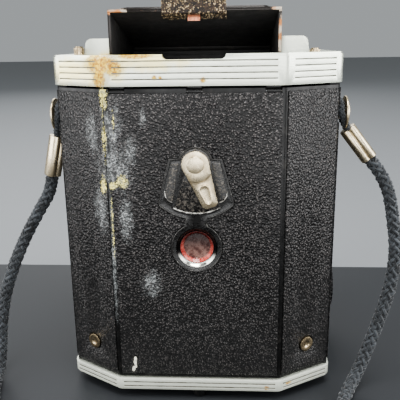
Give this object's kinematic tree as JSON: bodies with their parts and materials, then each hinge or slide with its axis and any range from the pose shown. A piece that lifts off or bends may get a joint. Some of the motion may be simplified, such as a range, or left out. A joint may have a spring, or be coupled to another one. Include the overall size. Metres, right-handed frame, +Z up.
{
  "type": "box camera",
  "caption": "Reflex-finder box camera with a folding finder hood, a hinged grained back with a red window and its lever, and a braided neck strap.",
  "frame": {"origin": "the mouth of the tripod socket, in the middle of the underside and level with the soles of the feet", "axes": "+X is the operator's right, +Y is the way the lens looks, +Z is up"},
  "size_m": [0.1363, 0.1767, 0.1252],
  "materials": {
    "black_moulding": "semi-gloss",
    "bright_metal": "satin, ribbed",
    "grained_leather": "fine pebble grain",
    "black_enamel": "semi-gloss",
    "matt_black": "matt",
    "nickel": "worn nickel plate",
    "steel": "plain",
    "brass": "tarnished",
    "copper": "bare",
    "corroded_plate": "corroded",
    "clear_glass": "polished",
    "red_celluloid": "clear red",
    "silvered_mirror": "polished",
    "black_rubber": "matt",
    "braided_cord": "braided"
  },
  "bodies": {
    "body": {"body_case": "black_moulding", "top_cover": "bright_metal", "base_plate": "bright_metal", "tripod_bush": "nickel", "feet": "black_rubber", "side_leathers": "grained_leather", "front_plate": "bright_metal", "front_screws": "nickel", "viewing_lens_ring": "nickel", "viewing_lens": "clear_glass", "lens_housing": "bright_metal", "taking_lens": "clear_glass", "lens_retainer": "black_enamel", "shutter_plate": "matt_black", "shutter_spring": "steel", "film_box": "matt_black", "spool_pins": "steel", "mirror_cradle": "matt_black", "finder_mirror": "silvered_mirror", "field_lens": "clear_glass", "finder_frame": "matt_black", "well_pan": "matt_black", "hood_pin": "steel", "hinge_leaf": "black_enamel", "back_hinge_pin": "steel", "deck_studs": "brass", "strap_studs": "nickel", "strap_loops": "braided_cord", "strap_ferrules": "nickel", "strap_cord_left": "braided_cord", "strap_cord_right": "braided_cord", "strap_coil": "braided_cord"},
    "back": {"back_shell": "black_enamel", "back_leather": "grained_leather", "corner_leathers": "grained_leather", "back_rivets": "brass", "window_bezel": "black_enamel", "window_ring": "nickel", "red_window": "red_celluloid", "pressure_plate": "steel", "back_springs": "steel", "back_catch": "steel"},
    "window_lever": {"window_lever": "nickel", "lever_rivet": "nickel", "window_shutter": "matt_black"},
    "hood": {"hood_lid": "black_enamel", "hood_wings": "black_enamel", "hood_tab": "corroded_plate", "hood_catch": "copper"},
    "latch": {"latch_slide": "steel", "latch_stud": "black_enamel"},
    "supply": {"supply_spool": "black_enamel"},
    "take_up": {"take_up_spool": "black_enamel"},
    "roller": {"film_roller": "steel"},
    "wind_pull": {"wind_collar": "nickel"},
    "winder": {"wind_shaft": "steel", "wind_knob": "black_moulding"},
    "release": {"release_lever": "nickel"},
    "blade": {"shutter_blade": "steel"},
    "selector": {"selector_lever": "nickel"}
  },
  "joints": [
    {"name": "back_swing", "type": "hinge", "parent": "body", "child": "back", "pos_m": [0, -0.035, 0.0976], "axis": [-1, 0, 0], "range_deg": [0, 90]},
    {"name": "window_lever_turn", "type": "hinge", "parent": "back", "child": "window_lever", "pos_m": [0, -0.036, 0.0772], "axis": [0, 1, 0], "range_deg": [0, 38.4]},
    {"name": "hood_lift", "type": "hinge", "parent": "body", "child": "hood", "pos_m": [0, 0.008, 0.1095], "axis": [-1, 0, 0], "range_deg": [-13.5, 74]},
    {"name": "latch_shift", "type": "slide", "parent": "body", "child": "latch", "axis": [1, 0, 0], "range_m": [-0.006, 0]},
    {"name": "supply_turn", "type": "hinge", "parent": "body", "child": "supply", "pos_m": [0, -0.0177, 0.0841], "axis": [1, 0, 0], "continuous": true},
    {"name": "roller_turn", "type": "hinge", "parent": "body", "child": "roller", "pos_m": [0, -0.0281, 0.0139], "axis": [1, 0, 0], "continuous": true},
    {"name": "knob_pull", "type": "slide", "parent": "body", "child": "wind_pull", "axis": [1, 0, 0], "range_m": [0, 0.0037]},
    {"name": "knob_turn", "type": "hinge", "parent": "wind_pull", "child": "winder", "pos_m": [0.042, 0.015, 0.0192], "axis": [1, 0, 0], "continuous": true},
    {"name": "take_up_turn", "type": "hinge", "parent": "body", "child": "take_up", "pos_m": [0, 0.015, 0.0192], "axis": [1, 0, 0], "continuous": true},
    {"name": "release_press", "type": "hinge", "parent": "body", "child": "release", "pos_m": [0, 0.0414, 0.046], "axis": [0, 1, 0], "range_deg": [0, 20], "stiffness_Nm_per_rad": 0.02},
    {"name": "blade_turn", "type": "hinge", "parent": "body", "child": "blade", "pos_m": [0, 0.0388, 0.057], "axis": [0, 1, 0], "range_deg": [0, 55]},
    {"name": "selector_turn", "type": "hinge", "parent": "body", "child": "selector", "pos_m": [0, 0.0436, 0.046], "axis": [0, -1, 0], "range_deg": [0, 16]}
  ],
  "couplings": [
    {"joint": "take_up_turn", "follows": "knob_turn", "ratio": 1},
    {"joint": "blade_turn", "follows": "release_press", "ratio": 2.75}
  ]
}
